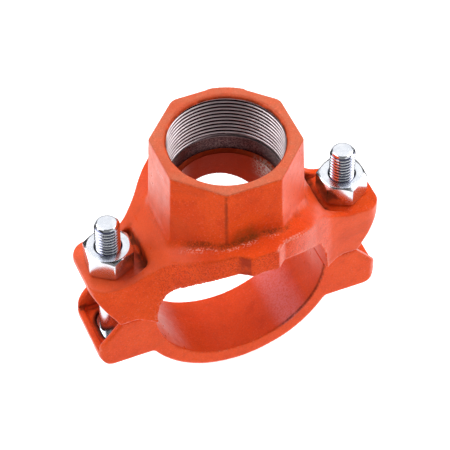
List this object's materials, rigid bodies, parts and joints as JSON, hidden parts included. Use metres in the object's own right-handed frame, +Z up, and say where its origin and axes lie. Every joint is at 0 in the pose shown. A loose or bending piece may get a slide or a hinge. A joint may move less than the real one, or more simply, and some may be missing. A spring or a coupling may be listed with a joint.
{
  "type": "threaded mechanical tee coupling",
  "caption": "Two-piece bolted branch coupling that clamps round a steel pipe, with an octagonal threaded outlet, track bolts, hexagon nuts and a saddle gasket.",
  "frame": {"origin": "where the axis of the run bore crosses the axis of the threaded outlet", "axes": "+Z up the threaded outlet, Y along the run pipe, X along the line of the two bolts"},
  "size_m": [0.1528, 0.0988, 0.1426],
  "materials": {
    "housing_paint": "semi-gloss orange-red paint on ductile iron",
    "zinc_steel": "bright zinc plate",
    "seal_rubber": "moulded matt black"
  },
  "bodies": {
    "upper": {"upper_housing": "housing_paint", "outlet_gasket": "seal_rubber"},
    "lower": {"lower_housing": "housing_paint", "bolt_left": "zinc_steel", "bolt_right": "zinc_steel"},
    "left_nut": {"nut_left": "zinc_steel"},
    "right_nut": {"nut_right": "zinc_steel"}
  },
  "joints": [
    {"name": "lower_drop", "type": "slide", "parent": "upper", "child": "lower", "axis": [0, 0, -1], "range_m": [0, 0.014]},
    {"name": "nut_left_turn", "type": "hinge", "parent": "upper", "child": "left_nut", "pos_m": [-0.0615, 0, 0.034], "axis": [0, 0, 1], "range_deg": [0, 2580]},
    {"name": "nut_right_turn", "type": "hinge", "parent": "upper", "child": "right_nut", "pos_m": [0.0615, 0, 0.034], "axis": [0, 0, 1], "range_deg": [0, 2580]}
  ],
  "couplings": [
    {"joint": "nut_left_turn", "follows": "lower_drop", "rad_per_m": 3215.6},
    {"joint": "nut_right_turn", "follows": "lower_drop", "rad_per_m": 3215.6}
  ]
}
